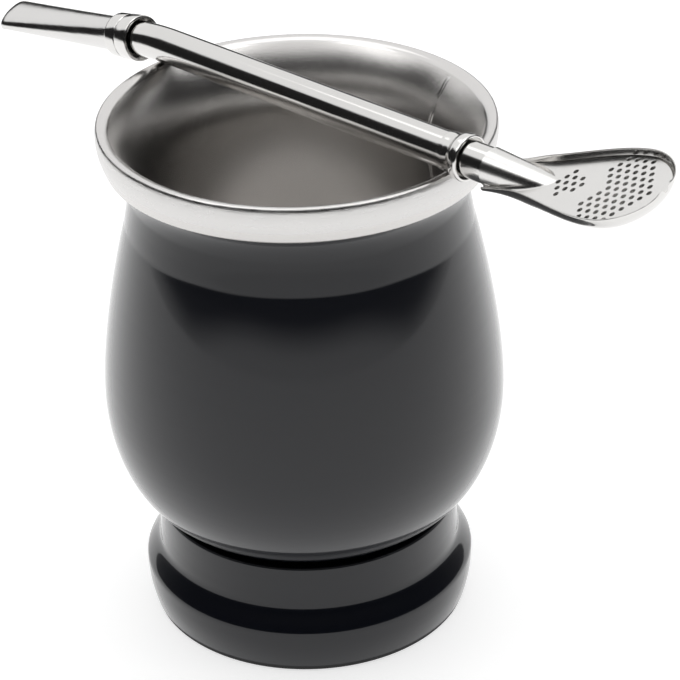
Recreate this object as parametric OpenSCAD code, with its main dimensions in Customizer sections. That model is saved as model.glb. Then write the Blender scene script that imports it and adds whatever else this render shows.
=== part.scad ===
// Double-wall mate cup with a steel drinking straw (bombilla) laid across its rim.
// Origin: centre of the underside of the base.  +Z is up.
// The straw's straight tube runs along X and its strainer spoon points to +X.

/* [Cup] */
// Diameter over the steel rim band
rim_d = 80; // [66:0.5:96]
// Height from the base to the crest of the lip
cup_h = 110.75; // [92:0.25:134]
// Largest diameter of the black belly
belly_d = 82.8; // [74:0.2:100]
// Height of the largest diameter of the belly
belly_z = 50.5; // [44:0.5:58]
// How much narrower than the rim the neck is, on the radius
neck_in = 5.8; // [4.6:0.1:7]
// Distance from the lip down to the neck crease
neck_drop = 14.55; // [12.2:0.05:17.5]
// Diameter at the bottom of the waist groove
waist_d = 57; // [48:0.5:60]
// Width of the waist groove at its bottom
groove_w = 0.6; // [0.4:0.1:1.2]
// Thickness of the black outer sheet
shell_wall = 0.6; // [0.4:0.05:0.9]

/* [Foot] */
// Largest diameter of the foot
foot_d = 69.5; // [66:0.5:84]
// Height of the foot's largest diameter
foot_z = 9; // [6:0.5:11]
// Diameter of the foot's top edge
foot_top_d = 62.6; // [61:0.2:66]
// Height of the foot's top edge
foot_h = 23.9; // [21:0.1:25]
// How much the foot draws in towards the base, on the radius
foot_tuck = 1.05; // [0.5:0.05:1.6]
// Thickness of the base plate
base_t = 1.3; // [0.8:0.1:2]

/* [Steel liner] */
// Thickness of the steel sheet
liner_wall = 0.6; // [0.4:0.05:0.9]
// Air gap between the liner and the outer sheet at the neck
neck_gap = 1.8; // [1:0.1:2.4]
// Air gap between the liner and the outer sheet at the belly
belly_gap = 3.8; // [2:0.1:5]
// Height of the floor inside the cup
floor_z = 27; // [26.5:0.5:32]
// Height of the rim band that folds down outside
band_h = 7.75; // [6.5:0.05:9.3]
// Width of the flat lip on top
lip_w = 2.1; // [1.4:0.1:2.8]
// Drop of the lip from its crest to its inner edge
lip_drop = 0.6; // [0.3:0.1:1]

/* [Straw tube] */
// Outer diameter of the tube
tube_d = 7.3; // [6:0.1:8]
// Thickness of the tube wall
tube_wall = 0.5; // [0.3:0.05:0.7]
// Sideways offset of the tube from the cup's axis
tube_y = 1.5; // [-4:0.1:4]
// Roll of the whole straw about its tube, in degrees
roll = 21; // [0:0.2:35]
// Angle of the bend before the mouthpiece, in degrees
bend_angle = 11.1; // [4:0.5:16]
// Radius of that bend, at the tube's axis
bend_r = 52; // [40:1:70]

/* [Mouthpiece and collars] */
// Length of the mouthpiece beyond the upper collar
mouth_l = 36.8; // [25:0.5:45]
// Width of the flattened tip
tip_w = 8.6; // [7.4:0.1:10]
// Thickness of the flattened tip
tip_t = 3.8; // [2.4:0.1:5]
// How far the upper collar stands out from the tube
upper_out = 1.15; // [0.95:0.05:1.8]
// Length of the upper collar
upper_l = 7.2; // [6:0.1:8.7]
// How far the lower collar's sleeve stands out from the tube
sleeve_out = 0.25; // [0.15:0.01:0.28]
// How far the lower collar's lip stands out from the tube
lip_out = 1.05; // [0.9:0.05:1.8]
// Length of the lower collar
lower_l = 5.4; // [4.5:0.1:6.5]
// Radial clearance between a collar and the tube
collar_fit = 0.05; // [0.02:0.01:0.1]

/* [Strainer spoon] */
// Length of the filter neck that shows past the lower collar
neck_l = 5.3; // [4:0.1:6]
// Width of the spoon
spoon_w = 19.8; // [17.5:0.2:24]
// Length of the spoon from the neck to its tip
spoon_l = 43; // [42.6:0.1:51.6]
// Depth of the bowl below its rim
spoon_depth = 6.8; // [4.5:0.1:8]
// Thickness of the spoon's sheet
spoon_wall = 0.4; // [0.3:0.05:0.5]
// Slope of the strainer plate against the tube, in degrees
plate_slope = 15.8; // [14:0.2:18]
// How far the spoon's rim stands above the strainer plate
rim_stand = 1.3; // [0.9:0.1:1.7]
// Thickness of the strainer plate
plate_t = 0.5; // [0.3:0.05:0.7]
// Diameter of a strainer hole
hole_d = 1.05; // [0.7:0.05:1.25]
// Hole spacing along the spoon
pitch_x = 2.03; // [1.7:0.01:2.06]
// Spacing of the rows of holes
pitch_y = 1.58; // [1.3:0.01:1.6]

/* [Hidden] */
ROUND = 96;

steel = "silver";
polished = "gainsboro";
black = "#26272b";

// Cup
rim_r = rim_d / 2;
belly_r = belly_d / 2;
neck_r = rim_r - neck_in;
neck_z = cup_h - neck_drop;
waist_r = waist_d / 2;
foot_r = foot_d / 2;
foot_top_r = foot_top_d / 2;
band_z = cup_h - band_h;
edge = 0.5;            // small radius of the pressed sheet's edges
tuck_r = waist_r - 2.3; // centre radius of the curve that tucks the belly under
tuck_z = foot_h + groove_w - 0.3;
base_r = foot_r - foot_tuck - shell_wall + 0.2;

// Fold of the steel rim over the top of the black sheet
fold_fit = 0.15;
fold_tuck = 0.6;
cove_r = rim_r - 2.1;  // outer radius of the black sheet under the band
crest_r = rim_r - 0.5;
lip_r = crest_r - lip_w;

// Liner
liner_neck_r = neck_r - shell_wall - neck_gap - liner_wall;
liner_belly_r = belly_r - shell_wall - belly_gap - liner_wall;
liner_belly_z = belly_z + 6.5;
liner_tuck_r = liner_belly_r - 12.4;

// Straw: heights and places along its own axis
rest_gap = 0.35;
tube_r = tube_d / 2;
bore_r = tube_r - tube_wall;
tube_z = cup_h + tube_r + rest_gap;
bend_x = -(rim_r - 4.4);
lower_x = rim_r - 2;
joint_x = lower_x + 2;
neck_end_x = lower_x + lower_l + neck_l;
upper_mouth = -0.7;    // the upper collar's mouth, measured from the end of the bend
recess_r = tube_r + 0.55;

// Spoon
spoon_x = neck_end_x;
spoon_neck_w = tube_r + 0.65;
spoon_wide_x = spoon_x + 31.9;
spoon_tip_x = spoon_x + spoon_l;
spoon_deep_x = spoon_x + 14;
spoon_round_x = spoon_x + 28.8;
spoon_r = spoon_w / 2;
tip_end = 0.08;        // where the loft stops short of the pointed tip
plate_x = spoon_x + 6.23;
plate_fit = 0.15;
neck_depth = spoon_neck_w + plate_height(spoon_x);
tongue_r = spoon_neck_w - spoon_wall - 0.05;
tongue_wall = 0.5;
tongue_l = 18;
tongue_taper = 1.3;    // how much the tongue's radius shrinks over its length
small_s = 14.73;       // centre of the small group of holes, along the plate
big_s = small_s + 4.31 * pitch_x;
// Rows of holes: first hole in pitches, and how many, for the middle row and outwards
small_rows = [[-2, 4], [-1.5, 3], [-1, 1]];
big_rows = [[0, 6], [-0.5, 6], [-1, 6], [-1.5, 6], [-1, 5], [-0.5, 4]];

// ---- curves ----

function bezier(a, b, c, d, steps) =
    [for (i = [0 : steps]) let (t = i / steps, u = 1 - t)
        u * u * u * a + 3 * u * u * t * b + 3 * u * t * t * c + t * t * t * d];

// Points of an ellipse about c with half axes rx and rz, from angle a0 to a1
function arc(c, rx, rz, a0, a1, steps) =
    [for (i = [0 : steps]) let (a = a0 + (a1 - a0) * i / steps)
        [c.x + rx * cos(a), c.y + rz * sin(a)]];

function reversed(list) = [for (i = [len(list) - 1 : -1 : 0]) list[i]];

function ease(t) = let (u = min(max(t, 0), 1)) u * u * (3 - 2 * u);

// Round end of a dome: 1 at the start, 0 at the far end
function dome(t) = sqrt(max(1 - t * t, 0));

// ---- cup outlines: radius and height, w is the inset from the outer face ----

function foot_line(w) = concat(
    bezier([foot_r - foot_tuck - w, base_t], [foot_r - foot_tuck / 3 - w, base_t + 2.7],
           [foot_r - w, foot_z - 3], [foot_r - w, foot_z], 6),
    bezier([foot_r - w, foot_z], [foot_r - w, foot_z + 0.9],
           [foot_r - 0.06 - w, foot_z + 1.15], [foot_r - 0.4 - w, foot_z + 1.7], 4),
    bezier([foot_r - 0.4 - w, foot_z + 1.7], [foot_r - 1.3 - w, foot_z + 3.1],
           [foot_top_r + 1.2 - w, foot_z + 4.1], [foot_top_r + 0.75 - w, foot_z + 5], 5),
    bezier([foot_top_r + 0.75 - w, foot_z + 5], [foot_top_r + 0.5 - w, foot_z + 5.5],
           [foot_top_r + 0.45 - w, foot_z + 6], [foot_top_r + 0.4 - w, foot_z + 7.2], 4),
    [[foot_top_r - w, foot_h - edge - w], [foot_top_r - edge - w, foot_h - w],
     [waist_r - w, foot_h - w]]);

function belly_line(w) =
    let (rx = belly_r - tuck_r - w, rz = belly_z - tuck_z - w)
    concat(
        arc([tuck_r, belly_z], rx, rz, -acos((waist_r - w - tuck_r) / rx), -4, 16),
        bezier([belly_r - w, belly_z], [belly_r - w, belly_z + 11.5],
               [neck_r + 3.75 - w, neck_z - 17.2], [neck_r + 1.05 - w, neck_z - 6.9], 14),
        bezier([neck_r + 1.05 - w, neck_z - 6.9], [neck_r + 0.68 - w, neck_z - 4.6],
               [neck_r + 0.24 - w, neck_z - 2.3], [neck_r - w, neck_z], 4));

// Concave curve from the neck crease out to the band, then the edge tucked into the fold
function cove_line(w) =
    let (rx = cove_r - neck_r, rz = band_z - 0.4 - neck_z)
    concat(
        [for (i = [1 : 10]) let (a = acos(w / (rx + w)) * i / 10)
            [cove_r - (rx + w) * cos(a), neck_z + (rz + w) * sin(a)]],
        [[cove_r - w, band_z + fold_tuck]]);

function shell_line(w) = concat(foot_line(w), belly_line(w), cove_line(w));

// The liner, g is how far outside its inner face the line runs
function liner_line(g) = concat(
    [[0, floor_z - g]],
    arc([liner_tuck_r, liner_belly_z], liner_belly_r - liner_tuck_r + g,
        liner_belly_z - floor_z + g, -90, -5, 16),
    bezier([liner_belly_r + g, liner_belly_z], [liner_belly_r + g, liner_belly_z + 14],
           [liner_neck_r + 1.5 + g, neck_z - 16], [liner_neck_r + g, neck_z], 14));

function flare_line(g) =
    bezier([liner_neck_r + g, neck_z], [liner_neck_r + g, neck_z + 5.5],
           [lip_r - 2.6 + g, cup_h - lip_drop - 2.4], [lip_r + g * 0.5, cup_h - lip_drop - g], 10);

function band_line() = concat(
    [[crest_r - 0.3, cup_h - 0.05], [crest_r, cup_h]],
    arc([rim_r - edge - 0.2, cup_h - edge], edge, edge, 80, 10, 4),
    bezier([rim_r - 0.1, cup_h - 1.5], [rim_r, cup_h - 3], [rim_r, band_z + 3.5],
           [cove_r + 0.75, band_z], 8),
    [[cove_r + fold_fit, band_z], [cove_r + fold_fit, band_z + 1],
     [crest_r - 0.15, band_z + 3.5], [crest_r - 0.15, cup_h - 1.6],
     [crest_r - 0.8, cup_h - lip_drop - 0.75]]);

// ---- cup pieces ----

module inner_cup() {
    color(steel)
    rotate_extrude($fn = ROUND)
    polygon(concat(liner_line(0), flare_line(0), band_line(),
                   reversed(flare_line(liner_wall)), reversed(liner_line(liner_wall))));
}

module outer_shell() {
    color(black)
    rotate_extrude($fn = ROUND)
    polygon(concat(shell_line(0), reversed(shell_line(shell_wall))));
}

module base_plate() {
    color(black)
    cylinder(r = base_r, h = base_t, $fn = ROUND);
}

// ---- straw frames ----

// The straw lies along X, with the spoon's open face towards +Z before it is rolled
module straw() {
    translate([0, tube_y, tube_z])
    rotate([roll, 0, 0])
    children();
}

// Z runs out of the bend along the mouthpiece, X is the mouthpiece's upper side
module past_bend() {
    translate([bend_x - bend_r * sin(bend_angle), 0, -bend_r * (1 - cos(bend_angle))])
    rotate([0, -90 - bend_angle, 0])
    children();
}

module ring(outer_r, inner_r, length) {
    difference() {
        cylinder(r = outer_r, h = length, $fn = ROUND);
        translate([0, 0, -1])
        cylinder(r = inner_r, h = length + 2, $fn = ROUND);
    }
}

// A turned ring with its axis on Z, from an outline of radius and height
module turned(outline) {
    rotate_extrude($fn = ROUND)
    polygon(outline);
}

// Skin over a row of closed loops that all have the same number of points
module skin(loops) {
    n = len(loops[0]);
    last = len(loops) - 1;
    points = [for (loop = loops) each loop];
    sides = [for (k = [0 : last - 1], i = [0 : n - 1])
        let (j = (i + 1) % n, a = k * n, b = a + n)
        each [[a + i, b + i, b + j], [a + i, b + j, a + j]]];
    start = [for (i = [0 : n - 1]) i];
    end = [for (i = [n - 1 : -1 : 0]) last * n + i];
    polyhedron(points = points, faces = concat([start], sides, [end]), convexity = 4);
}

// ---- straw pieces ----

module bombilla_tube() {
    color(polished)
    straw() {
        translate([bend_x, 0, 0])
        rotate([0, 90, 0])
        ring(tube_r, bore_r, joint_x - bend_x);

        translate([bend_x, 0, -bend_r])
        rotate([90, 0, 0])
        rotate([0, 0, 90])
        rotate_extrude(angle = bend_angle, $fn = ROUND)
        translate([bend_r, 0])
        difference() {
            circle(r = tube_r, $fn = 48);
            circle(r = bore_r, $fn = 48);
        }
    }
}

// Cross-section of the mouthpiece: round at v = 0, wide and flat at v = 1
function mouth_loop(v, inset, z) =
    let (half_t = tube_r + (tip_t / 2 - tube_r) * v - inset,
         half_w = tube_r + (tip_w / 2 - tube_r) * v - inset,
         power = 1 - 0.25 * v)
    [for (i = [0 : 31]) let (a = 360 * i / 32, c = cos(a), s = sin(a))
        [half_t * sign(c) * pow(abs(c), power), half_w * sign(s) * pow(abs(s), power), z]];

module mouthpiece() {
    straight = upper_mouth + upper_l + 0.5;
    length = upper_mouth + upper_l + mouth_l;
    steps = 12;
    color(polished)
    straw()
    past_bend()
    difference() {
        skin([for (i = [-1 : steps]) let (t = max(i, 0) / steps)
            mouth_loop(t, 0, i < 0 ? 0 : straight + (length - straight) * t)]);
        skin([for (i = [-1 : steps + 1]) let (t = min(max(i, 0), steps) / steps)
            mouth_loop(t, tube_wall,
                       i < 0 ? -1 : straight + (length - straight) * t + (i > steps ? 1 : 0))]);
    }
}

module upper_collar() {
    back = upper_l;
    groove = upper_l - 3.4;
    r = tube_r + upper_out;
    groove_r = r - 0.35;
    color(polished)
    straw()
    past_bend()
    translate([0, 0, upper_mouth])
    turned([[recess_r, 0], [r - 0.25, 0], [r, 0.25], [r, groove - 0.4], [groove_r, groove - 0.2],
            [groove_r, groove], [r - 0.15, groove + 0.2], [r - 0.15, back - 0.6],
            [r - 0.6, back], [tube_r + collar_fit, back], [tube_r + collar_fit, 2.6],
            [recess_r, 2.6]]);
}

module lower_collar() {
    r = tube_r + sleeve_out;
    lip = tube_r + lip_out;
    color(polished)
    straw()
    translate([lower_x, 0, 0])
    rotate([0, 90, 0])
    turned([[tube_r + collar_fit, 0], [r - 0.05, 0], [r, 0.05], [r, lower_l - 3],
            [lip - 0.15, lower_l - 2.2], [lip, lower_l - 1.4], [lip, lower_l - 0.5],
            [lip - 0.4, lower_l], [recess_r, lower_l], [recess_r, lower_l - 1.2],
            [tube_r + collar_fit, lower_l - 1.2]]);
}

module filter_neck() {
    color(polished)
    straw()
    translate([joint_x, 0, 0])
    rotate([0, 90, 0])
    ring(tube_r, bore_r, neck_end_x - joint_x);
}

// ---- spoon: half width, depth and height of its rim at a place x along the straw ----

function plate_height(x) = (x - plate_x) * tan(plate_slope);

function rim_height(x) = plate_height(x) + rim_stand * ease((x - spoon_x) / 12);

function half_width(x) = x < spoon_wide_x
    ? spoon_neck_w
        + (spoon_r - spoon_neck_w) * pow(ease((x - spoon_x) / (spoon_wide_x - spoon_x)), 1.2)
    : spoon_r * dome((x - spoon_wide_x) / (spoon_tip_x - spoon_wide_x));

function depth(x) = x < spoon_round_x
    ? neck_depth + (spoon_depth - neck_depth) * ease((x - spoon_x) / (spoon_deep_x - spoon_x))
    : spoon_depth * dome((x - spoon_round_x) / (spoon_tip_x - spoon_round_x));

// D-shaped loop: round below the rim, flat at the height of the rim plus lift
function bowl_loop(x, place, inset, lift) =
    let (w = max(half_width(x) - inset, 0.2), d = max(depth(x) - inset, 0.2), top = rim_height(x))
    concat([for (i = [0 : 16]) let (a = -90 + 180 * i / 16)
               [place, w * sin(a), top - d * cos(a)]],
           [[place, w, top + lift], [place, -w, top + lift]]);

// Places along the spoon, closer together towards the round tip
function bowl_places(first, last, steps) =
    [for (i = [0 : steps]) first + (last - first) * sin(90 * i / steps)];

module spoon_shell() {
    outer_end = spoon_tip_x - tip_end;
    inner_end = spoon_tip_x - tip_end - spoon_wall;
    color(polished)
    straw()
    difference() {
        skin([for (x = bowl_places(spoon_x, outer_end, 26)) bowl_loop(x, x, 0, 0.02)]);
        skin([for (x = bowl_places(spoon_x, inner_end, 26))
            bowl_loop(x, x == spoon_x ? x - 0.5 : x, spoon_wall, 1)]);
    }
}

// Half width of the space between the bowl's walls at the height of the plate's underside
function seat_width(x) =
    let (d = depth(x) - spoon_wall, under = rim_height(x) - plate_height(x) + plate_t)
    (half_width(x) - spoon_wall) * dome(min(under / d, 1)) - plate_fit;

module plate_frame() {
    translate([plate_x, 0, 0])
    rotate([0, -plate_slope, 0])
    children();
}

module holes(rows, first_s) {
    for (j = [1 - len(rows) : len(rows) - 1], k = [0 : rows[abs(j)][1] - 1])
        translate([first_s + (rows[abs(j)][0] + k) * pitch_x, j * pitch_y, -2 * plate_t])
        cylinder(d = hole_d, h = 4 * plate_t, $fn = 24);
}

// Space under the tongue, from just before its end to past its tip
module tongue_bore() {
    taper = tongue_taper / tongue_l;
    translate([0, 0, -1])
    cylinder(r1 = tongue_r - tongue_wall + taper, r2 = tongue_r - tongue_wall - tongue_taper - taper,
             h = tongue_l + 2, $fn = ROUND);
}

module strainer_plate() {
    last_x = spoon_round_x + (spoon_tip_x - spoon_round_x)
        * dome((rim_stand + plate_t + spoon_wall) / spoon_depth) - 0.4;
    places = bowl_places(plate_x + 0.5, last_x, 28);
    side = [for (x = places) [(x - plate_x) / cos(plate_slope), max(seat_width(x), 0.3)]];
    color("whitesmoke")
    straw()
    difference() {
        union() {
            plate_frame()
            difference() {
                translate([0, 0, -plate_t])
                linear_extrude(height = plate_t)
                polygon(concat(side, [for (p = reversed(side)) [p.x, -p.y]]));
                holes(small_rows, small_s);
                holes(big_rows, big_s);
            }
            intersection() {
                translate([spoon_x, 0, 0])
                rotate([0, 90, 0])
                cylinder(r1 = tongue_r, r2 = tongue_r - tongue_taper, h = tongue_l, $fn = ROUND);
                plate_frame()
                translate([-20, -20, -plate_t])
                cube([60, 40, 20]);
            }
        }
        translate([spoon_x, 0, 0])
        rotate([0, 90, 0])
        tongue_bore();
    }
}

inner_cup();
outer_shell();
base_plate();
bombilla_tube();
mouthpiece();
upper_collar();
lower_collar();
filter_neck();
spoon_shell();
strainer_plate();
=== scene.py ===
# %% [markdown]
# # A steel mate cup with its drinking straw
#
# The cup is a double wall: a spun steel liner whose rim folds outside, and a black lacquered
# sheet round it with a narrow waist and a wide foot.  A steel straw, the bombilla, lies across
# the rim, with a flat mouthpiece at one end and a strainer spoon at the other.
# The frame holds the exact solids.  Here each one gets a finer mesh and its own finish.

# %% Load the frame
import math

import bmesh
import bpy
from mathutils import Matrix, Vector


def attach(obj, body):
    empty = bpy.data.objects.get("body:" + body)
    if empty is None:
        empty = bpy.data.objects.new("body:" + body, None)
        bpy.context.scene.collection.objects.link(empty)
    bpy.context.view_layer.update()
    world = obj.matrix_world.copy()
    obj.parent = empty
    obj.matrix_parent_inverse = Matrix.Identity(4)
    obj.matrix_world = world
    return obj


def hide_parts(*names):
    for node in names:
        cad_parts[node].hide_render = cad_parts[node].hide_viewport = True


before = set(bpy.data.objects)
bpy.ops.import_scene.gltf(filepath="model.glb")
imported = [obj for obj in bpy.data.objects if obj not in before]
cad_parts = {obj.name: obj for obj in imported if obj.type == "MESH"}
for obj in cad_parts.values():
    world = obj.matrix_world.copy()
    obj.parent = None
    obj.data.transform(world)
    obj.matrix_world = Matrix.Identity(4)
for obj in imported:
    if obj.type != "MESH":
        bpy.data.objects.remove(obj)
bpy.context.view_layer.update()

print("nodes:", sorted(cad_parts))

# %% [markdown]
# ## The camera
#
# It stands about 0.6 m away and looks down on the cup at 30 degrees, so the open mouth shows.
# A long lens keeps the foot and the rim in calm proportion, as in a shop picture.
# Its three axes are worked out from the angles, which is easier to read than Euler angles.

# %% Place the camera
azimuth, elevation, lean = math.radians(42.77), math.radians(30.24), math.radians(-1.37)

forward = Vector((-math.sin(azimuth) * math.cos(elevation),
                  math.cos(azimuth) * math.cos(elevation), -math.sin(elevation)))
level = Vector((math.cos(azimuth), math.sin(azimuth), 0))
upright = level.cross(forward)
side = math.cos(lean) * level + math.sin(lean) * upright
top = math.cos(lean) * upright - math.sin(lean) * level

lens = bpy.data.cameras.new("camera")
lens.lens, lens.sensor_width = 153.12, 36
lens.clip_start, lens.clip_end = 0.01, 20
camera = bpy.data.objects.new("camera", lens)
place = Matrix((side, top, -forward)).transposed().to_4x4()
place.translation = (0.35567, -0.37338, 0.35996)
camera.matrix_world = place
bpy.context.collection.objects.link(camera)
bpy.context.scene.camera = camera
print("camera looks along", tuple(round(c, 3) for c in forward))

# %% [markdown]
# ## Sizes
#
# These are the sizes of the solids, in millimetres, so that each smooth mesh lies exactly where
# its solid is.  Everything else is worked out from them.

# %% Sizes of the cup
MM = 0.001
RIM_R, CUP_H, BELLY_R, BELLY_Z = 40.0, 110.75, 41.4, 50.5
NECK_R, NECK_Z, WAIST_R = 34.2, 96.2, 28.5
FOOT_R, FOOT_Z, FOOT_TOP_R, FOOT_H, FOOT_TUCK, BASE_T = 34.75, 9.0, 31.3, 23.9, 1.05, 1.3
SHEET, GROOVE, FLOOR_Z = 0.6, 0.6, 27.0
BAND_Z, COVE_R, CREST_R, LIP_R, LIP_DROP = 103.0, 37.9, 39.5, 37.4, 0.6
TUCK_R, TUCK_Z, EDGE = WAIST_R - 2.3, FOOT_H + GROOVE - 0.3, 0.5
LINER_NECK_R, LINER_BELLY_R, LINER_BELLY_Z = 31.2, 36.4, 57.0
print("cup height", CUP_H, "mm, rim", 2 * RIM_R, "mm across")

# %% [markdown]
# ## Curves
#
# A spun sheet is one line turned round an axis, so the work is in the lines.  Bezier curves and
# ellipse arcs give them a few numbers that can be read, and far smoother reflections than
# straight steps would.

# %% Line helpers
def bezier(a, b, c, d, steps):
    """Points of a cubic curve from a to d."""
    points = []
    for i in range(steps + 1):
        t = i / steps
        u = 1 - t
        weights = (u ** 3, 3 * u * u * t, 3 * u * t * t, t ** 3)
        points.append(tuple(sum(w * p[k] for w, p in zip(weights, (a, b, c, d)))
                            for k in range(2)))
    return points


def arc(centre, rx, rz, start, end, steps):
    """Points of an ellipse arc, angles in degrees."""
    angles = [math.radians(start + (end - start) * i / steps) for i in range(steps + 1)]
    return [(centre[0] + rx * math.cos(a), centre[1] + rz * math.sin(a)) for a in angles]


print("a quarter round:", [tuple(round(c, 2) for c in p) for p in arc((0, 0), 1, 1, 0, 90, 2)])

# %% [markdown]
# ## Meshes from lines
#
# Every mesh is written in millimetres and ends in metres, in its place in the frame.  It shades
# smoothly, but an edge stays sharp where two faces meet at a steep angle, as on a machined part.

# %% A finished mesh
CREASE, SAME_PLACE = math.radians(32), 1e-7


def finished(name, verts, faces, place=None):
    """A mesh in metres from points in millimetres, without doubled points, smooth but crisp."""
    mesh = bpy.data.meshes.new(name)
    mesh.from_pydata([tuple(c * MM for c in v) for v in verts], [], faces)
    work = bmesh.new()
    work.from_mesh(mesh)
    bmesh.ops.remove_doubles(work, verts=work.verts, dist=SAME_PLACE)
    bmesh.ops.dissolve_degenerate(work, edges=work.edges, dist=SAME_PLACE)
    bmesh.ops.recalc_face_normals(work, faces=work.faces)
    work.to_mesh(mesh)
    work.free()
    if place:
        mesh.transform(place)
    mesh.shade_smooth()
    mesh.set_sharp_from_angle(angle=CREASE)
    return mesh


print("an edge stays sharp above", round(math.degrees(CREASE)), "degrees")

# %% [markdown]
# Most of the cup is spun or turned, so its mesh is made as on a lathe: a line turned round Z.
# A closed line gives a wall with a thickness.  An open one starts and ends on the axis.

# %% The lathe
def lathe(name, line, closed=True, steps=256, place=None):
    """Turns a line of (radius, height) round Z."""
    n = len(line)
    verts = [(r * math.cos(a), r * math.sin(a), z)
             for a in (2 * math.pi * k / steps for k in range(steps)) for r, z in line]
    last = n if closed else n - 1
    faces = [(k * n + i, (k + 1) % steps * n + i, (k + 1) % steps * n + (i + 1) % n,
              k * n + (i + 1) % n) for k in range(steps) for i in range(last)]
    return finished(name, verts, faces, place)


print("a lathe takes 256 steps round, unless told otherwise")

# %% [markdown]
# A mesh becomes a piece of the object when it moves with the whole and carries its finishes.
# Most pieces also stand for a solid of the frame.  A weld line or a pressed tongue stands for
# none: it only adds a detail to its neighbour.

# %% A piece of the object
def add_piece(name, mesh, slot, *nodes, finishes=()):
    """A piece of the object that stands for these nodes, if any, and moves with the whole."""
    piece = bpy.data.objects.new(name, mesh)
    for finish in finishes:
        mesh.materials.append(finish)
    bpy.context.collection.objects.link(piece)
    if nodes:
        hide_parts(*nodes)
    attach(piece, "root")
    print(f"{name}: {len(mesh.polygons)} faces")
    return piece


print("every piece rides on the root body")

# %% [markdown]
# ## Writing a finish as sums
#
# A material is a small calculation that runs at every point of a surface.  Python can write
# it as a sum: a `Wire` is the output of a node, and adding or multiplying wires adds Math nodes.

# %% A wire
class Wire:
    """The output of a node, usable in sums."""

    def __init__(self, nodes, socket):
        self.nodes, self.socket = nodes, socket

    def sum(self, operation, first, second):
        return self.nodes.add("ShaderNodeMath", {"operation": operation}, {0: first, 1: second})

    def __add__(self, other):
        return self.sum("ADD", self, other)

    def __mul__(self, other):
        return self.sum("MULTIPLY", self, other)

    def __sub__(self, other):
        return self.sum("SUBTRACT", self, other)

    def __rsub__(self, other):
        return self.sum("SUBTRACT", other, self)

    def __pow__(self, other):
        return self.sum("POWER", self, other)

    __radd__, __rmul__ = __add__, __mul__


print("wires can be added, subtracted, multiplied and raised to a power")

# %% [markdown]
# Colours and vectors don't go through Math nodes, which would turn them grey; they go through
# Mix and Vector Math, which the one `add` method makes like any other node.  The world of the
# room is a set of nodes too, so `add` belongs to `Nodes`, and a `Finish` is the kind of `Nodes`
# that ends in a Principled shader.

# %% Nodes and finishes
class Nodes:
    """The nodes of a material or of the world."""

    def __init__(self, tree):
        self.tree = tree

    def add(self, kind, settings=None, inputs=None, output=0):
        node = self.tree.nodes.new(kind)
        for key, value in (settings or {}).items():
            setattr(node, key, value)
        for key, value in (inputs or {}).items():
            socket = node.inputs[key]
            if isinstance(value, Wire):
                self.tree.links.new(value.socket, socket)
            else:
                socket.default_value = value
        return Wire(self, node.outputs[output])


class Finish(Nodes):
    """A material, built round one Principled shader whose constants are given by name."""

    def __init__(self, name, **constants):
        self.material = bpy.data.materials.new(name)
        self.material.use_nodes = True
        super().__init__(self.material.node_tree)
        self.shader = self.tree.nodes["Principled BSDF"]
        for key, value in constants.items():
            self.shader.inputs[key.replace("_", " ")].default_value = value

    def feed(self, key, wire):
        self.tree.links.new(wire.socket, self.shader.inputs[key])


print("a finish takes constants by name and varying inputs by wire")

# %% [markdown]
# ## Grain and smudge
#
# Two patterns come back in every metal here.  Grain is a noise stretched along the way that the
# metal was brushed or spun: for a turned piece, it is stretched round the axis, so it is looked up
# by height and radius instead of by plain position.  Smudge is a large soft noise, which keeps a
# polished face from looking like computer chrome.

# %% Places for a pattern
def turned_place(finish, around=1.0, across=1.0):
    """A place on a turned piece: angle, radius and height, scaled for a noise."""
    spot = finish.add("ShaderNodeTexCoord", output="Object")
    x, y, z = (finish.add("ShaderNodeSeparateXYZ", None, {0: spot}, output=i) for i in range(3))
    angle = y.sum("ARCTAN2", y, x)
    radius = (x * x + y * y) ** 0.5
    return finish.add("ShaderNodeCombineXYZ", None,
                      {0: angle * around, 1: radius * across, 2: z * across})


def flat_place(finish, stretch=(1, 1, 1)):
    """A plain place in metres, stretched along the axes."""
    spot = finish.add("ShaderNodeTexCoord", output="Object")
    return finish.add("ShaderNodeMapping", None, {0: spot, "Scale": stretch})


print("grain runs round a turned piece, smudges lie anywhere")

# %% [markdown]
# On the steels of the cup one noise gives three things at once: a small change of colour, of
# roughness, and of height.  That ties the brushing that is seen to the one that light meets.

# %% Noise, bump and tint
def noise(finish, place, scale, detail, roughness):
    return finish.add("ShaderNodeTexNoise", None,
                      {"Vector": place, "Scale": scale, "Detail": detail, "Roughness": roughness})


def bump(finish, height, strength, distance):
    return finish.add("ShaderNodeBump", None,
                      {"Strength": strength, "Distance": distance, "Height": height})


def tint(finish, factor, dark, light):
    """A colour between two, by a wire from 0 to 1."""
    return finish.add("ShaderNodeMix", {"data_type": "RGBA"},
                      {0: factor, 6: (*dark, 1), 7: (*light, 1)}, output=2)


print("noise feeds tint, roughness and bump")

# %% [markdown]
# ## Black lacquer
#
# The outer sheet is sprayed with a hard black lacquer.  Under the gloss the colour is a blue
# black, and the surface has the faint long ripple that spraying leaves, so the edges of its
# reflections are a little streaky.  A coat layer on a rougher base gives both: a soft glow below
# and a crisp reflection above.

# %% Finish: black lacquer
lacquer = Finish("black_lacquer", Specular_IOR_Level=0.12, Coat_Weight=1.0,
                 Coat_Roughness=0.06, Coat_IOR=1.44)
ripple = noise(lacquer, turned_place(lacquer, around=0.05, across=6.0), 28.0, 2.0, 0.5)
haze = noise(lacquer, flat_place(lacquer), 30.0, 4.0, 0.6)
lacquer.feed("Base Color", tint(lacquer, haze, (0.002, 0.0026, 0.0055), (0.004, 0.005, 0.009)))
lacquer.feed("Roughness", haze * 0.08 + 0.3)
lacquer.feed("Normal", bump(lacquer, ripple, 0.12, 0.0006))
print("lacquer:", len(lacquer.tree.nodes), "nodes")

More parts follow.
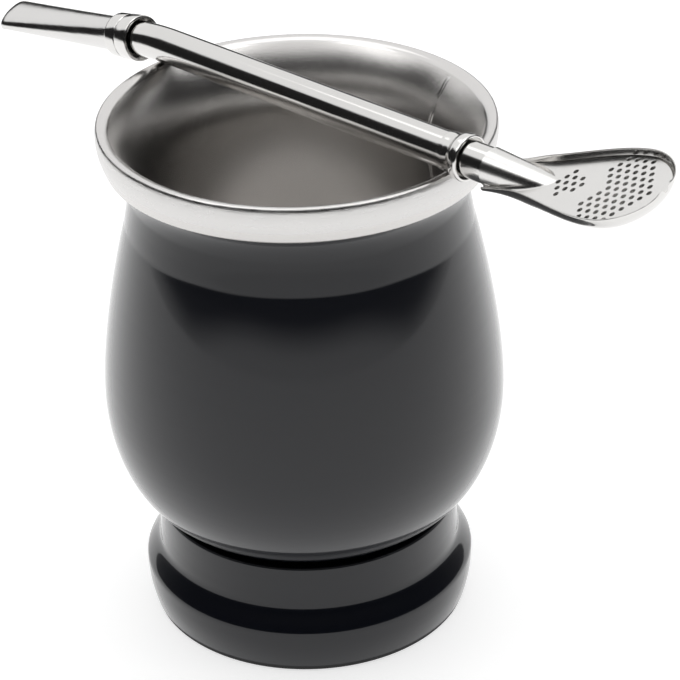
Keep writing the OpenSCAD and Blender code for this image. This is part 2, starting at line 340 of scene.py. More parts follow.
# %% [markdown]
# ## Steel for the cup
#
# Stainless steel comes in three finishes on the cup.  The band outside the rim is brushed round
# with a coarse belt, the lip is nearly polished, and the inside is spun and then blasted to
# a fine satin.  All three are the same metal, with different grain and roughness.

# %% Finish: steel of the liner
def steel(name, light, rough, spread, grain_scale, grain_strength, around=0.25, **constants):
    """Turned stainless steel, with grain that runs round it."""
    finish = Finish(name, Metallic=1.0, **constants)
    place = turned_place(finish, around=around, across=40.0)
    grain = noise(finish, place, grain_scale, 4.0, 0.65)
    smudge = noise(finish, flat_place(finish), 22.0, 3.0, 0.55)
    shade = tuple(c * 0.9 for c in light)
    finish.feed("Base Color", tint(finish, grain * 0.8 + smudge * 0.2, shade, light))
    finish.feed("Roughness", (grain - 0.5) * spread + smudge * 0.06 + rough)
    finish.feed("Normal", bump(finish, grain, grain_strength, 0.0002))
    return finish


band_steel = steel("brushed_band", (0.7, 0.69, 0.68), 0.27, 0.25, 30.0, 0.35)
lip_steel = steel("polished_lip", (0.72, 0.705, 0.695), 0.16, 0.12, 30.0, 0.15)
satin_steel = steel("satin_inside", (0.68, 0.665, 0.65), 0.22, 0.1, 60.0, 0.14, around=6.0)
print("three steels for the liner")

# %% [markdown]
# ## Black sheet
#
# The sheet has a thickness, so each stretch of its line can be drawn `w` further in, once for
# the outside and once for the inside.  The foot widens from its tuck at the bottom, then leans
# in over a soft shoulder to a nearly upright wall that ends at the waist.

# %% The foot
def foot_line(w):
    tuck = bezier((FOOT_R - FOOT_TUCK - w, BASE_T), (FOOT_R - FOOT_TUCK / 3 - w, BASE_T + 2.7),
                  (FOOT_R - w, FOOT_Z - 3), (FOOT_R - w, FOOT_Z), 16)
    rise = (bezier((FOOT_R - w, FOOT_Z), (FOOT_R - w, FOOT_Z + 0.9),
                   (FOOT_R - 0.06 - w, FOOT_Z + 1.15), (FOOT_R - 0.4 - w, FOOT_Z + 1.7), 14)
            + bezier((FOOT_R - 0.4 - w, FOOT_Z + 1.7), (FOOT_R - 1.3 - w, FOOT_Z + 3.1),
                     (FOOT_TOP_R + 1.2 - w, FOOT_Z + 4.1), (FOOT_TOP_R + 0.75 - w, FOOT_Z + 5), 20)[1:]
            + bezier((FOOT_TOP_R + 0.75 - w, FOOT_Z + 5), (FOOT_TOP_R + 0.5 - w, FOOT_Z + 5.5),
                     (FOOT_TOP_R + 0.45 - w, FOOT_Z + 6), (FOOT_TOP_R + 0.4 - w, FOOT_Z + 7.2), 14)[1:])
    wall = [(FOOT_TOP_R + (FOOT_H - EDGE - w - z) * 0.05 - w, z)
            for z in (17.5, 19.0, 20.5, 22.0, FOOT_H - EDGE - w)]
    corner = arc((FOOT_TOP_R - EDGE - w, FOOT_H - EDGE - w), EDGE, EDGE, 0, 90, 8)
    return tuck + rise[1:] + wall + corner + [(WAIST_R - w, FOOT_H - w)]


print("foot line:", len(foot_line(0)), "points")

# %% [markdown]
# The belly is part of an ellipse below its widest place, and swings in above it to a slight
# hollow at the neck.  Creases on pressed sheet are never perfectly sharp, so two lines that meet
# at an angle are joined by a small round.

# %% The belly
def joined(first, second, size):
    """Two lines that share an end, with a small round of about this size between them."""
    corner = Vector(first[-1])
    before = [p for p in first if (Vector(p) - corner).length > size]
    after = [p for p in second if (Vector(p) - corner).length > size]
    a = corner + (Vector(before[-1]) - corner).normalized() * size
    b = corner + (Vector(after[0]) - corner).normalized() * size
    bend = [tuple((1 - t) ** 2 * a + 2 * t * (1 - t) * corner + t * t * b)
            for t in (i / 6 for i in range(7))]
    return before + bend + after


def belly_line(w):
    rx, rz = BELLY_R - TUCK_R - w, BELLY_Z - TUCK_Z - w
    start = -math.degrees(math.acos((WAIST_R - w - TUCK_R) / rx))
    belly = (arc((TUCK_R, BELLY_Z), rx, rz, start, -1, 48)
             + bezier((BELLY_R - w, BELLY_Z), (BELLY_R - w, BELLY_Z + 11.5),
                      (NECK_R + 3.75 - w, NECK_Z - 17.2), (NECK_R + 1.05 - w, NECK_Z - 6.9), 56))
    neck = bezier(belly[-1], (NECK_R + 0.68 - w, NECK_Z - 4.6), (NECK_R + 0.24 - w, NECK_Z - 2.3),
                  (NECK_R - w, NECK_Z), 14)
    return joined(belly, neck, 0.45)


print("belly line:", len(belly_line(0)), "points")

# %% [markdown]
# Above the neck a small quarter hollow leads out to the steel band.  Then the whole line goes up
# outside and comes back inside, from the foot to the band, and the lathe turns it.

# %% The black sheet
def cove_line(w):
    rx, rz = COVE_R - NECK_R, BAND_Z - 0.4 - NECK_Z
    last = math.degrees(math.acos(w / (rx + w)))
    hollow = [(COVE_R - (rx + w) * math.cos(math.radians(last * i / 24)),
               NECK_Z + (rz + w) * math.sin(math.radians(last * i / 24))) for i in range(25)]
    return [(NECK_R - w, NECK_Z)] + hollow[1:] + [(COVE_R - w, BAND_Z + 0.6)]


outside = foot_line(0) + joined(belly_line(0), cove_line(0), 0.35)
inside = foot_line(SHEET) + belly_line(SHEET) + cove_line(SHEET)[1:]
add_piece("black_sheet", lathe("black_sheet", outside + inside[::-1]),
          "black_enamel", "outer_shell", finishes=[lacquer.material])

# %% [markdown]
# ## Base and liner
#
# The base is a plain disc of matt black that closes the foot.  Its edge is rounded, and its
# middle is pressed in a little, so that it stands on a ring and doesn't rock.

# %% The base
matt = Finish("matt_black_base", IOR=1.45)
speckle = noise(matt, flat_place(matt), 900.0, 3.0, 0.7)
matt.feed("Base Color", tint(matt, speckle, (0.012, 0.012, 0.013), (0.028, 0.028, 0.03)))
matt.feed("Roughness", speckle * 0.25 + 0.5)
matt.feed("Normal", bump(matt, speckle, 0.25, 0.0001))

BASE_R, HOLLOW_R, HOLLOW, BASE_ROUND = FOOT_R - FOOT_TUCK - SHEET + 0.2, 27.0, 0.35, 0.4
base_outline = ([(0, HOLLOW), (HOLLOW_R - 0.5, HOLLOW)]
                + arc((HOLLOW_R, HOLLOW), 0.5, HOLLOW, 180, 270, 4)[1:]
                + [(BASE_R - BASE_ROUND, 0)]
                + arc((BASE_R - BASE_ROUND, BASE_ROUND), BASE_ROUND, BASE_ROUND, -90, 0, 6)[1:]
                + [(BASE_R, BASE_T), (0, BASE_T)])
add_piece("base_disc", lathe("base_disc", base_outline, closed=False),
          "base_black", "base_plate", finishes=[matt.material])

# %% [markdown]
# The liner is one sheet, spun from the floor of the cup up to the lip.  These two stretches are
# its wall, drawn `g` further out for the hidden side.

# %% The wall of the liner
def liner_line(g):
    tuck = LINER_BELLY_R - 12.4
    return ([(0, FLOOR_Z - g), (tuck * 0.5, FLOOR_Z - g)]
            + arc((tuck, LINER_BELLY_Z), LINER_BELLY_R - tuck + g, LINER_BELLY_Z - FLOOR_Z + g,
                  -90, -1, 48)
            + bezier((LINER_BELLY_R + g, LINER_BELLY_Z), (LINER_BELLY_R + g, LINER_BELLY_Z + 14),
                     (LINER_NECK_R + 1.5 + g, NECK_Z - 16), (LINER_NECK_R + g, NECK_Z), 44)[1:])


def flare_line(g):
    return bezier((LINER_NECK_R + g, NECK_Z), (LINER_NECK_R + g, NECK_Z + 5.5),
                  (LIP_R - 2.6 + g, CUP_H - LIP_DROP - 2.4),
                  (LIP_R + g * 0.5, CUP_H - LIP_DROP - g), 28)[1:]


bowl = liner_line(0) + flare_line(0)
print("the wall of the liner:", len(bowl), "points")

# %% [markdown]
# At the lip the sheet folds over and comes down again as the band.  Each part has its own finish,
# chosen by where the face lies: below the lip it is satin, on top it is nearly polished, and
# outside it is brushed.

# %% The liner
lip_top = bezier((LIP_R, CUP_H - LIP_DROP), (LIP_R + 0.5, CUP_H - 0.2),
                 (CREST_R - 0.9, CUP_H), (CREST_R - 0.3, CUP_H), 8)
shoulder = bezier((CREST_R - 0.3, CUP_H), (RIM_R - 0.25, CUP_H),
                  (RIM_R - 0.1, CUP_H - 0.6), (RIM_R - 0.06, CUP_H - 1.5), 12)
band_face = bezier((RIM_R - 0.06, CUP_H - 1.5), (RIM_R, CUP_H - 3), (RIM_R, BAND_Z + 3.5),
                   (COVE_R + 0.75, BAND_Z + 0.12), 24)
band_fold = [(COVE_R + 0.6, BAND_Z), (COVE_R + 0.15, BAND_Z), (COVE_R + 0.15, BAND_Z + 1),
             (CREST_R - 0.15, BAND_Z + 3.5), (CREST_R - 0.15, CUP_H - 1.6),
             (CREST_R - 0.8, CUP_H - LIP_DROP - 0.75)]
liner_mesh = lathe("steel_liner", bowl + lip_top[1:] + shoulder[1:] + band_face[1:] + band_fold
                   + flare_line(SHEET)[::-1] + liner_line(SHEET)[::-1], closed=False, steps=288)
add_piece("steel_liner", liner_mesh, "brushed_steel", "inner_cup",
          finishes=[satin_steel.material, lip_steel.material, band_steel.material])
for face in liner_mesh.polygons:
    reach = math.hypot(face.center.x, face.center.y) / MM
    if reach > CREST_R - 0.1:
        face.material_index = 2
    elif face.center.z / MM > CUP_H - LIP_DROP - 0.25:
        face.material_index = 1

# %% [markdown]
# ## Weld line
#
# What isn't turned is lofted: a skin over a row of loops, which also makes bent and flattened
# tubes.  With `ring`, the last loop joins the first, so a skin can come back along the inside.

# %% The loft
def loft(name, loops, ring=False, place=None):
    """Skin over loops of equal length; ring joins the last loop to the first."""
    n = len(loops[0])
    verts = [p for loop in loops for p in loop]
    rows = len(loops)
    faces = [(k * n + i, k * n + (i + 1) % n, (k + 1) % rows * n + (i + 1) % n,
              (k + 1) % rows * n + i) for k in range(rows if ring else rows - 1) for i in range(n)]
    if not ring:
        faces += [tuple(range(n)), tuple(range((rows - 1) * n, rows * n))]
    return finished(name, verts, faces, place)


print("a loft closes its two ends, unless it is a ring")

# %% [markdown]
# The liner starts as a rolled sheet, welded into a tube.  The weld stays visible inside as
# two fine raised lines that run down the wall.  They are modelled as one low bead that follows
# the wall, with a dip along its middle.  It starts in the belly, above the pressed bottom.

# %% The weld line
WELD_ANGLE, WELD_START = math.radians(75), 34


def weld_loop(r, z):
    across = [(-0.62, 0.05), (-0.5, -0.05), (-0.34, -0.12), (-0.18, -0.06), (0, -0.03),
              (0.18, -0.06), (0.34, -0.12), (0.5, -0.05), (0.62, 0.05)]
    loop = []
    for offset, lift in across:
        turn = WELD_ANGLE + offset / r
        loop.append(((r + lift) * math.cos(turn), (r + lift) * math.sin(turn), z))
    return loop


weld_path = [p for p in bowl if WELD_START < p[1] < CUP_H - LIP_DROP - 0.4]
add_piece("weld_line", loft("weld_line", [weld_loop(r, z) for r, z in weld_path]),
          "brushed_steel", finishes=[lip_steel.material])

# %% [markdown]
# ## Steel for the straw
#
# The straw is polished, so it mirrors the room: long light and dark lines run along it.  Only
# faint drawn lines along the tube and soft smudges break the mirror.  The grain is looked up in
# the straw's own direction.  The strainer plate is duller, because it was pressed and tumbled.

# %% Finish: polished steel
def straw_steel(name, light, rough, spread, stretch, scale, strength):
    finish = Finish(name, Metallic=1.0)
    grain = noise(finish, flat_place(finish, stretch), scale, 4.0, 0.6)
    smudge = noise(finish, flat_place(finish), 45.0, 3.0, 0.55)
    shade = tuple(c * 0.9 for c in light)
    finish.feed("Base Color", tint(finish, smudge, shade, light))
    finish.feed("Roughness", (grain - 0.5) * spread + smudge * 0.05 + rough)
    finish.feed("Normal", bump(finish, grain, strength, 0.0001))
    return finish


drawn = straw_steel("polished_tube", (0.74, 0.73, 0.715), 0.1, 0.14, (0.03, 1, 1), 900.0, 0.25)
ring_steel = straw_steel("polished_ring", (0.76, 0.75, 0.735), 0.11, 0.1, (1, 0.1, 0.1), 900.0, 0.2)
mouth_steel = straw_steel("satin_mouthpiece", (0.74, 0.73, 0.72), 0.15, 0.12, (0.03, 1, 1),
                          1200.0, 0.25)
spoon_steel = straw_steel("polished_spoon", (0.76, 0.75, 0.735), 0.09, 0.08, (0.2, 1, 1), 500.0, 0.15)
plate_steel = straw_steel("strainer_steel", (0.78, 0.77, 0.755), 0.2, 0.1, (0.3, 1, 1),
                          1400.0, 0.15)
print("five steels for the straw")

# %% [markdown]
# ## The straw
#
# Places along the straw are measured from the cup's axis, towards the spoon.  The tube is
# `TUBE_Z` up, which clears the rim by a hair.  The bowl begins at `SPOON_X`, and the plane of
# the strainer plate crosses the tube's axis at `PLATE_X`.

# %% Sizes of the straw
TUBE_R, BORE_R, TUBE_Y, TUBE_Z, ROLL = 3.65, 3.15, 1.5, 114.75, math.radians(21)
BEND_X, BEND_R, BEND = -35.6, 52.0, math.radians(11.1)
MOUTH_L, TIP_W, TIP_T = 36.8, 8.6, 3.8
UPPER_MOUTH, UPPER_L, UPPER_R = -0.7, 7.2, 4.8
LOWER_X, LOWER_L, SLEEVE_R, LIP_RING_R, JOINT_X = 38.0, 5.4, 3.9, 4.7, 40.0
RECESS_R, COLLAR_BORE = 4.2, 3.7
SPOON_X, SPOON_L, SPOON_R, SPOON_DEPTH, SPOON_WALL = 48.7, 43.0, 9.9, 6.8, 0.4
SPOON_NECK_W, PLATE_X, PLATE_SLOPE, PLATE_T, RIM_STAND = 4.3, 54.93, math.radians(15.8), 0.5, 1.3
print("straw tube", 2 * TUBE_R, "mm thick, spoon", 2 * SPOON_R, "mm wide")

# %% [markdown]
# Every piece of the straw is made lying along X with the spoon's open face up.  One matrix then
# lifts it onto the rim and rolls it to the side, as it would come to rest.  Past the bend,
# a second matrix follows the mouthpiece.

# %% Places of the straw
STRAW = Matrix.Translation((0, TUBE_Y * MM, TUBE_Z * MM)) @ Matrix.Rotation(ROLL, 4, "X")
ALONG = Matrix.Rotation(math.radians(90), 4, "Y")
PAST_BEND = (Matrix.Translation(((BEND_X - BEND_R * math.sin(BEND)) * MM, 0,
                                 -BEND_R * (1 - math.cos(BEND)) * MM))
             @ Matrix.Rotation(-math.radians(90) - BEND, 4, "Y"))
print("straw lifted to", TUBE_Z, "mm and rolled", round(math.degrees(ROLL)), "degrees")

# %% [markdown]
# The tube runs straight from the spoon to the bend, then curves down.  It is a skin over circles
# that go out along the outside and come back along the bore, which gives it a real wall.

# %% The tube
def circle(centre, across, up, r, steps=64):
    return [tuple(centre + across * (r * math.cos(a)) + up * (r * math.sin(a)))
            for a in (2 * math.pi * i / steps for i in range(steps))]


def tube_loops(r):
    loops = [circle(Vector((x, 0, 0)), Vector((0, 1, 0)), Vector((0, 0, 1)), r)
             for x in (JOINT_X, 30, 15, 0, -15, -28, BEND_X)]
    for i in range(1, 25):
        a = BEND * i / 24
        centre = Vector((BEND_X - BEND_R * math.sin(a), 0, -BEND_R * (1 - math.cos(a))))
        loops.append(circle(centre, Vector((0, 1, 0)),
                            Vector((-math.sin(a), 0, math.cos(a))), r))
    return loops


add_piece("straw_tube", loft("straw_tube", tube_loops(TUBE_R) + tube_loops(BORE_R)[::-1],
                             ring=True, place=STRAW),
          "polished_steel", "bombilla_tube", finishes=[drawn.material])

# %% [markdown]
# The mouthpiece starts round and is squeezed flat and wide towards its tip.  Raising the cosine
# and sine to a power below one makes the flattened section fuller at its corners.

# %% The mouthpiece
def mouth_loop(v, inset, z):
    half_t = TUBE_R + (TIP_T / 2 - TUBE_R) * v - inset
    half_w = TUBE_R + (TIP_W / 2 - TUBE_R) * v - inset
    power = 1 - 0.04 * v
    loop = []
    for i in range(96):
        c, s = math.cos(2 * math.pi * i / 96), math.sin(2 * math.pi * i / 96)
        loop.append((half_t * math.copysign(abs(c) ** power, c),
                     half_w * math.copysign(abs(s) ** power, s), z))
    return loop


mouth_start, mouth_end = UPPER_MOUTH + UPPER_L + 0.5, UPPER_MOUTH + UPPER_L + MOUTH_L
mouth_places = [mouth_start + (mouth_end - mouth_start) * i / 24 for i in range(25)]
outer = [mouth_loop(0, 0, 0)] + [mouth_loop(i / 24, 0, z) for i, z in enumerate(mouth_places)]
outer[-1] = mouth_loop(1, 0, mouth_end - 0.12)
lip = [mouth_loop(1, 0.04, mouth_end - 0.03), mouth_loop(1, 0.15, mouth_end),
       mouth_loop(1, 0.38, mouth_end)]
inner = [mouth_loop(0, 0.5, 0)] + [mouth_loop(i / 24, 0.5, z) for i, z in enumerate(mouth_places)]
add_piece("flat_mouthpiece", loft("flat_mouthpiece", outer + lip + inner[::-1], ring=True,
                                  place=STRAW @ PAST_BEND),
          "polished_steel", "mouthpiece", finishes=[mouth_steel.material])

# %% [markdown]
# Two collars cover the joints of the straw.  Each is turned from bar, and a recess at its mouth
# leaves a dark gap round the tube.  The upper one has a fine groove cut round it.

# %% The upper collar
groove_z, r = UPPER_L - 3.4, UPPER_R
upper_line = ([(RECESS_R, 0.12)] + arc((RECESS_R + 0.12, 0.12), 0.12, 0.12, 180, 270, 4)[1:]
              + arc((r - 0.3, 0.3), 0.3, 0.3, -90, 0, 6)
              + [(r, 1.5), (r, groove_z - 0.45)]
              + bezier((r, groove_z - 0.45), (r, groove_z - 0.2), (r - 0.35, groove_z - 0.25),
                       (r - 0.35, groove_z - 0.1), 6)[1:]
              + bezier((r - 0.35, groove_z), (r - 0.35, groove_z + 0.15), (r - 0.15, groove_z + 0.1),
                       (r - 0.15, groove_z + 0.3), 6)
              + [(r - 0.15, UPPER_L - 0.6)]
              + bezier((r - 0.15, UPPER_L - 0.6), (r - 0.15, UPPER_L - 0.2), (r - 0.4, UPPER_L),
                       (r - 0.6, UPPER_L), 8)[1:]
              + [(COLLAR_BORE, UPPER_L), (COLLAR_BORE, 2.6), (RECESS_R, 2.6)])
upper_place = STRAW @ PAST_BEND @ Matrix.Translation((0, 0, UPPER_MOUTH * MM))
add_piece("upper_ring", lathe("upper_ring", upper_line, steps=128, place=upper_place),
          "polished_steel", "upper_collar", finishes=[ring_steel.material])

# %% [markdown]
# The lower collar is a plain sleeve that swells into a lip on the side of the spoon.

# %% The lower collar
lip_r = LIP_RING_R
lower_line = ([(COLLAR_BORE, 0), (SLEEVE_R - 0.1, 0)]
              + arc((SLEEVE_R - 0.1, 0.1), 0.1, 0.1, -90, 0, 4)[1:]
              + [(SLEEVE_R, 1.2), (SLEEVE_R, LOWER_L - 3)]
              + bezier((SLEEVE_R, LOWER_L - 3), (SLEEVE_R + 0.05, LOWER_L - 2.6),
                       (lip_r - 0.05, LOWER_L - 2.3), (lip_r, LOWER_L - 1.4), 12)[1:]
              + [(lip_r, LOWER_L - 0.5)]
              + bezier((lip_r, LOWER_L - 0.5), (lip_r, LOWER_L - 0.15), (lip_r - 0.15, LOWER_L),
                       (lip_r - 0.35, LOWER_L), 8)[1:]
              + [(RECESS_R, LOWER_L), (RECESS_R, LOWER_L - 1.2), (COLLAR_BORE, LOWER_L - 1.2)])
lower_place = STRAW @ Matrix.Translation((LOWER_X * MM, 0, 0)) @ ALONG
add_piece("lower_ring", lathe("lower_ring", lower_line, steps=128, place=lower_place),
          "polished_steel", "lower_collar", finishes=[ring_steel.material])

# %% [markdown]
# A short tube, as thick as the straw itself, leads from the lower collar into the bowl.

# %% The neck of the spoon
neck_line = [(BORE_R, 0), (TUBE_R, 0), (TUBE_R, 2.2), (TUBE_R, 4.4), (TUBE_R, SPOON_X - JOINT_X),
             (BORE_R, SPOON_X - JOINT_X)]
neck_place = STRAW @ Matrix.Translation((JOINT_X * MM, 0, 0)) @ ALONG
add_piece("spoon_neck", lathe("spoon_neck", neck_line, steps=128, place=neck_place),
          "polished_steel", "filter_neck", finishes=[drawn.material])

# %% [markdown]
# ## The strainer spoon
#
# The bowl is pressed from thin sheet.  Its width, depth and rim height are simple functions of
# the place along the spoon: an eased step from the neck to the full size, then a round end.

# %% Width and depth of the bowl
def ease(t):
    """Soft step from 0 to 1."""
    t = min(max(t, 0), 1)
    return t * t * (3 - 2 * t)


def dome(t):
    """Round end: 1 at the start, 0 at the far end."""
    return math.sqrt(max(1 - t * t, 0))


WIDE_X, TIP_X, DEEP_X, ROUND_X = SPOON_X + 31.9, SPOON_X + SPOON_L, SPOON_X + 14, SPOON_X + 28.8


def plate_height(x):
    return (x - PLATE_X) * math.tan(PLATE_SLOPE)


def rim_height(x):
    return plate_height(x) + RIM_STAND * ease((x - SPOON_X) / 12)


def half_width(x):
    if x < WIDE_X:
        return SPOON_NECK_W + (SPOON_R - SPOON_NECK_W) * ease((x - SPOON_X) / (WIDE_X - SPOON_X)) ** 1.2
    return SPOON_R * dome((x - WIDE_X) / (TIP_X - WIDE_X))


def bowl_depth(x):
    start = SPOON_NECK_W + plate_height(SPOON_X)
    if x < ROUND_X:
        return start + (SPOON_DEPTH - start) * ease((x - SPOON_X) / (DEEP_X - SPOON_X))
    return SPOON_DEPTH * dome((x - ROUND_X) / (TIP_X - ROUND_X))


print("the bowl is", round(bowl_depth(DEEP_X), 1), "mm deep")

# %% [markdown]
# Each section across the bowl is a round trough with a rolled rim on both sides.  The sections
# crowd together towards the round tip, where the form turns fast.

# %% The bowl of the spoon
def trough(x, inset, steps=40):
    w, d, rim = max(half_width(x) - inset, 0.04), max(bowl_depth(x) - inset, 0.04), rim_height(x)
    return [(x, w * math.sin(a), rim - d * math.cos(a))
            for a in (-math.pi / 2 + math.pi * i / steps for i in range(steps + 1))]


def bead(start, end):
    """The half circle of the rolled rim, from one side of the wall to the other."""
    middle, half = (Vector(start) + Vector(end)) / 2, (Vector(start) - Vector(end)) / 2
    return [tuple(middle + half * math.cos(t) + Vector((0, 0, half.length)) * math.sin(t))
            for t in (math.pi * i / 8 for i in range(1, 8))]


def bowl_section(k, steps):
    s = math.sin(math.pi / 2 * k / steps)
    outer = trough(SPOON_X + (SPOON_L - 0.02) * s, 0)
    inner = trough(SPOON_X + (SPOON_L - SPOON_WALL) * s, SPOON_WALL)
    return outer + bead(outer[-1], inner[-1]) + inner[::-1] + bead(inner[0], outer[0])


add_piece("spoon_bowl", loft("spoon_bowl", [bowl_section(k, 72) for k in range(73)], place=STRAW),
          "polished_steel", "spoon_shell", finishes=[spoon_steel.material])

# %% [markdown]
# The strainer plate is flat and seats inside the bowl, so its outline follows the bowl's width
# at the plate's own height.  Its holes lie in two groups, in rows that are set half a pitch
# against each other: `small_rows` and `big_rows` give the start and the count of each row, from
# the middle outwards.

# %% The outline and the rows of holes
def seat_width(x):
    """Half the width that the plate has room for, at its own height in the bowl."""
    d = bowl_depth(x) - SPOON_WALL
    under = rim_height(x) - plate_height(x) + PLATE_T
    return (half_width(x) - SPOON_WALL) * dome(min(under / d, 1)) - 0.15


last_x = ROUND_X + (TIP_X - ROUND_X) * dome((RIM_STAND + PLATE_T + SPOON_WALL) / SPOON_DEPTH) - 0.4
side_places = [PLATE_X + 0.5 + (last_x - PLATE_X - 0.5) * math.sin(math.pi / 2 * i / 60)
               for i in range(61)]
side_line = [((x - PLATE_X) / math.cos(PLATE_SLOPE), max(seat_width(x), 0.3)) for x in side_places]

SMALL_S, PITCH_X, PITCH_Y, HOLE_R = 14.73, 2.03, 1.58, 0.525
BIG_S = SMALL_S + 4.31 * PITCH_X
small_rows = [(-2, 4), (-1.5, 3), (-1, 1)]
big_rows = [(0, 6), (-0.5, 6), (-1, 6), (-1.5, 6), (-1, 5), (-0.5, 4)]
holes = [arc((first + (start + k) * PITCH_X, j * PITCH_Y), HOLE_R, HOLE_R, 360, 15, 23)
         for rows, first in ((small_rows, SMALL_S), (big_rows, BIG_S))
         for j in range(1 - len(rows), len(rows))
         for start, count in [rows[abs(j)]]
         for k in range(count)]
print(len(holes), "holes")

# %% [markdown]
# A filled 2D curve makes real holes at once: the outline and each hole are splines of one curve,
# and its extrusion is the sheet's thickness.  A tiny bevel rounds the punched edges.

# %% The strainer plate
def add_spline(curve, points):
    spline = curve.splines.new("POLY")
    spline.points.add(len(points) - 1)
    for point, (x, y) in zip(spline.points, points):
        point.co = (x * MM, y * MM, 0, 1)
    spline.use_cyclic_u = True


PUNCHED_EDGE = 0.06
plan = bpy.data.curves.new("strainer_plan", "CURVE")
plan.dimensions, plan.fill_mode = "2D", "BOTH"
plan.extrude, plan.offset = (PLATE_T / 2 - PUNCHED_EDGE) * MM, -PUNCHED_EDGE * MM
plan.bevel_depth, plan.bevel_resolution = PUNCHED_EDGE * MM, 1
for outline in [side_line + [(s, -w) for s, w in reversed(side_line)]] + holes:
    add_spline(plan, outline)
drawing = bpy.data.objects.new("strainer_plan", plan)
bpy.context.collection.objects.link(drawing)
plate_mesh = bpy.data.meshes.new_from_object(drawing.evaluated_get(
    bpy.context.evaluated_depsgraph_get()))
bpy.data.objects.remove(drawing)
plate_mesh.transform(STRAW @ Matrix.Translation((PLATE_X * MM, 0, 0))
                     @ Matrix.Rotation(-PLATE_SLOPE, 4, "Y")
                     @ Matrix.Translation((0, 0, -PLATE_T / 2 * MM)))
plate_mesh.name = "strainer_sheet"
plate_mesh.shade_smooth()
plate_mesh.set_sharp_from_angle(angle=CREASE)
plate_mesh.materials.clear()
add_piece("strainer_sheet", plate_mesh, "satin_steel", "strainer_plate",
          finishes=[plate_steel.material])

# %% [markdown]
# Where the straw's bore opens into the bowl, the plate is pressed up into a half-round tongue
# that tapers away before the first holes.  Each section is the arc of a cone with a small hollow
# curve on both sides, so it flows into the plate without a crease.

# %% The tongue
TONGUE_R, TONGUE_TAPER, TONGUE_L = SPOON_NECK_W - SPOON_WALL - 0.05, 1.3, 18.0


def tongue_radius(x):
    return TONGUE_R - TONGUE_TAPER * (x - SPOON_X) / TONGUE_L


def tongue_section(x):
    r = tongue_radius(x)
    floor = plate_height(x) - 0.02
    fillet = 0.05 + 1.15 * ease((x - SPOON_X) / 9)
    foot = math.sqrt(max((r + fillet) ** 2 - (floor + fillet) ** 2, 1e-6))
    touch = math.atan2(floor + fillet, foot)
    side = [(foot - fillet * math.sin(t), floor + fillet - fillet * math.cos(t))
            for t in ((math.pi / 2 - touch) * i / 10 for i in range(10))]
    crown = [(r * math.cos(t), r * math.sin(t))
             for t in (touch + (math.pi - 2 * touch) * i / 32 for i in range(33))]
    line = side + crown + [(-y, z) for y, z in reversed(side)]
    return [(x, y, z) for y, z in line + [(-foot, floor - 0.3), (foot, floor - 0.3)]]


tongue_end = max(x for x in (SPOON_X + TONGUE_L * i / 400 for i in range(400))
                 if plate_height(x) - 0.018 < tongue_radius(x))
tongue_places = [SPOON_X + (tongue_end - SPOON_X) * math.sin(math.pi / 2 * i / 40)
                 for i in range(41)]
add_piece("strainer_tongue",
          loft("strainer_tongue", [tongue_section(x) for x in tongue_places], place=STRAW),
          "satin_steel", finishes=[plate_steel.material])

# %% [markdown]
# ## Floor
#
# The cup stands on a plain white sheet.  The sheet glows a little, as paper does under strong
# light from all sides, so the shadow under the foot stays soft.  It ends less than half a metre
# out, because what lies beyond it shows up in the lacquer.

# %% The floor
FLOOR_REACH = 0.45
floor_mesh = bpy.data.meshes.new("floor")
floor_mesh.from_pydata([(FLOOR_REACH * math.cos(a), FLOOR_REACH * math.sin(a), 0)
                        for a in (2 * math.pi * k / 96 for k in range(96))],
                       [], [tuple(range(96))])
floor = bpy.data.objects.new("floor", floor_mesh)
floor.location.z = -0.0001
bpy.context.collection.objects.link(floor)
paper = Finish("white_paper", Roughness=0.6, Base_Color=(0.6, 0.6, 0.6, 1),
               Emission_Color=(1, 1, 1, 1), Emission_Strength=0.64)
floor_mesh.materials.append(paper.material)
print("floor reaches", FLOOR_REACH, "m out")

# %% [markdown]
# ## Room
#
# A polished cup is lit by what it mirrors.  Here the room is white, with one dark ring round the
# horizon, where a studio is unlit.  The ring is tall on the viewer's side and low behind the cup,
# so it makes the black bands on the neck and foot and the dark line along the straw, while the
# strainer still mirrors white.  `away` says how far a direction points away from the viewer.

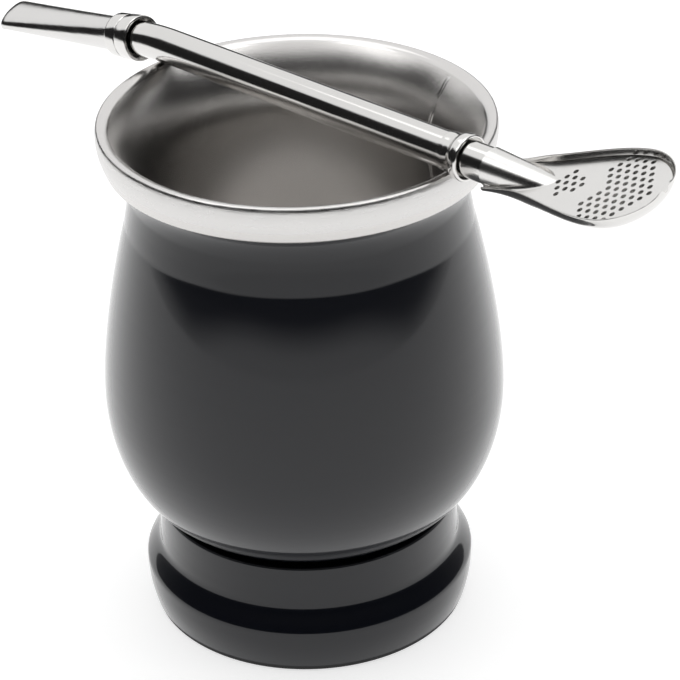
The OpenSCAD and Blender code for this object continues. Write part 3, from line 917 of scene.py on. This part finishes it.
# %% The room
world = bpy.data.worlds.new("studio")
bpy.context.scene.world = world
world.use_nodes = True
sky = Nodes(world.node_tree)
ray = sky.add("ShaderNodeTexCoord", output="Generated")
height = sky.add("ShaderNodeSeparateXYZ", None, {0: ray}, output=2)
away = sky.add("ShaderNodeVectorMath", {"operation": "DOT_PRODUCT"},
               {0: ray, 1: (-math.sin(azimuth), math.cos(azimuth), 0)}, output="Value")


def soft_step(value, start, end):
    return sky.add("ShaderNodeMapRange", {"interpolation_type": "SMOOTHSTEP"},
                   {0: value, 1: start, 2: end, 3: 0, 4: 1})


lower_end = height + soft_step(away, -0.95, -0.3) * 0.08
upper_end = height + soft_step(away, -0.5, -0.05) * 0.12 + soft_step(away, 0.1, 0.45) * 0.4
ring = soft_step(lower_end, -0.14, -0.05) - soft_step(upper_end, 0.68, 0.78)
seen = sky.add("ShaderNodeLightPath", output="Is Camera Ray")
light = seen + (1 - seen) * (1 - ring * 0.985)
grey = sky.add("ShaderNodeCombineColor", None, {0: light, 1: light, 2: light})
world.node_tree.links.new(grey.socket, world.node_tree.nodes["Background"].inputs["Color"])
print("a white room with a dark ring round the horizon,", len(sky.tree.nodes), "nodes")

# %% [markdown]
# ## Lamps
#
# Three weak softboxes help the room: one overhead, a little behind the cup, lights the floor and
# the top of the straw, and one on either side puts a soft glint on the rim.

# %% The lamps
def softbox(name, place, size, power):
    lamp = bpy.data.lights.new(name, "AREA")
    lamp.shape, lamp.size, lamp.size_y, lamp.energy = "RECTANGLE", size[0], size[1], power
    box = bpy.data.objects.new(name, lamp)
    box.location = place
    box.rotation_mode = "QUATERNION"
    middle = Vector((0, 0, 0.06))
    box.rotation_quaternion = (middle - Vector(place)).to_track_quat("-Z", "Y")
    bpy.context.collection.objects.link(box)


def around(angle, reach, height):
    """A place round the cup, measured from the viewer's side, anticlockwise from above."""
    turn = azimuth - math.radians(90) + math.radians(angle)
    return (reach * math.cos(turn), reach * math.sin(turn), height)


softbox("overhead", around(180, 0.2, 0.95), (0.8, 0.6), 0.9)
softbox("left_box", around(-70, 0.5, 0.8), (0.3, 0.5), 0.5)
softbox("right_box", around(70, 0.5, 0.8), (0.3, 0.5), 0.5)
bpy.context.scene.view_settings.view_transform = "Standard"
print("three softboxes")
